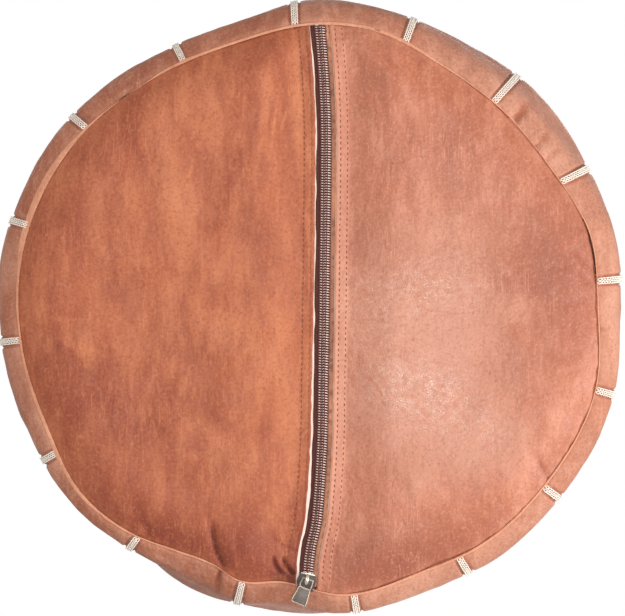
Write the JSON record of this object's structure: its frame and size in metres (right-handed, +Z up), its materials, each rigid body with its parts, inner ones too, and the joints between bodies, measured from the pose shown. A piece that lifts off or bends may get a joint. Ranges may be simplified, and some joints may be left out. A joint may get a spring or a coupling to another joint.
{
  "type": "leather pouf",
  "caption": "Round stuffed leather pouf with panelled sides in chain-stitched seams, gored top and a base closed by a zip with a pull tab.",
  "frame": {"origin": "middle of the footprint, on the floor under the base", "axes": "+Z up out of the seat top, +Y along the zip towards the slider's closed end, +X to the right of the zip seen from below with the slider nearest"},
  "size_m": [0.5242, 0.5249, 0.3299],
  "materials": {
    "leather_base_left": "semi-matt, brushed",
    "leather_base_right": "semi-matt, polished in places",
    "leather_side": "semi-matt, grained",
    "leather_top": "semi-matt, grained",
    "leather_welt": "matt",
    "leather_medallion": "semi-matt",
    "thread_cream": "matt cotton thread",
    "thread_brown": "waxed thread",
    "zip_tape_fabric": "woven twill",
    "zip_nylon": "satin nylon",
    "zip_metal": "antique, dark",
    "bag_cotton": "plain cotton",
    "stuffing_textile": "loose"
  },
  "bodies": {
    "cover": {"base_panel_left": "leather_base_left", "base_panel_right": "leather_base_right", "base_welt": "leather_welt", "side_panel_01": "leather_side", "side_panel_02": "leather_side", "side_panel_03": "leather_side", "side_panel_04": "leather_side", "side_panel_05": "leather_side", "side_panel_06": "leather_side", "side_panel_07": "leather_side", "side_panel_08": "leather_side", "side_panel_09": "leather_side", "side_panel_10": "leather_side", "side_panel_11": "leather_side", "side_panel_12": "leather_side", "side_panel_13": "leather_side", "side_panel_14": "leather_side", "side_panel_15": "leather_side", "side_panel_16": "leather_side", "top_welt": "leather_welt", "top_panel_01": "leather_top", "top_panel_02": "leather_top", "top_panel_03": "leather_top", "top_panel_04": "leather_top", "top_panel_05": "leather_top", "top_panel_06": "leather_top", "top_panel_07": "leather_top", "top_panel_08": "leather_top", "top_panel_09": "leather_top", "top_panel_10": "leather_top", "top_panel_11": "leather_top", "top_panel_12": "leather_top", "top_panel_13": "leather_top", "top_panel_14": "leather_top", "top_panel_15": "leather_top", "top_panel_16": "leather_top", "top_medallion": "leather_medallion", "medallion_embroidery": "thread_cream", "side_seam_embroidery": "thread_cream", "top_seam_embroidery": "thread_cream", "zip_tape_left": "zip_tape_fabric", "zip_tape_right": "zip_tape_fabric", "zip_coil_left": "zip_nylon", "zip_coil_right": "zip_nylon", "zip_stitching_left": "thread_brown", "zip_stitching_right": "thread_brown", "zip_top_stops": "zip_metal", "zip_bottom_stop": "zip_metal", "inner_bag": "bag_cotton", "stuffing": "stuffing_textile"},
    "slider": {"zip_slider": "zip_metal"},
    "pull_tab": {"zip_pull_tab": "zip_metal"}
  },
  "joints": [
    {"name": "zip_travel", "type": "hinge", "parent": "cover", "child": "slider", "pos_m": [-2.48441, -0.0591, 0], "axis": [0, 0, -1], "range_deg": [0, 10.04], "deforming": ["zip_coil_left", "zip_coil_right"]},
    {"name": "pull_tab_flip", "type": "hinge", "parent": "slider", "child": "pull_tab", "pos_m": [0.00039, 0.21685, 0.00645], "axis": [-0.9247, -0.3806, 0], "range_deg": [0, 165]}
  ]
}
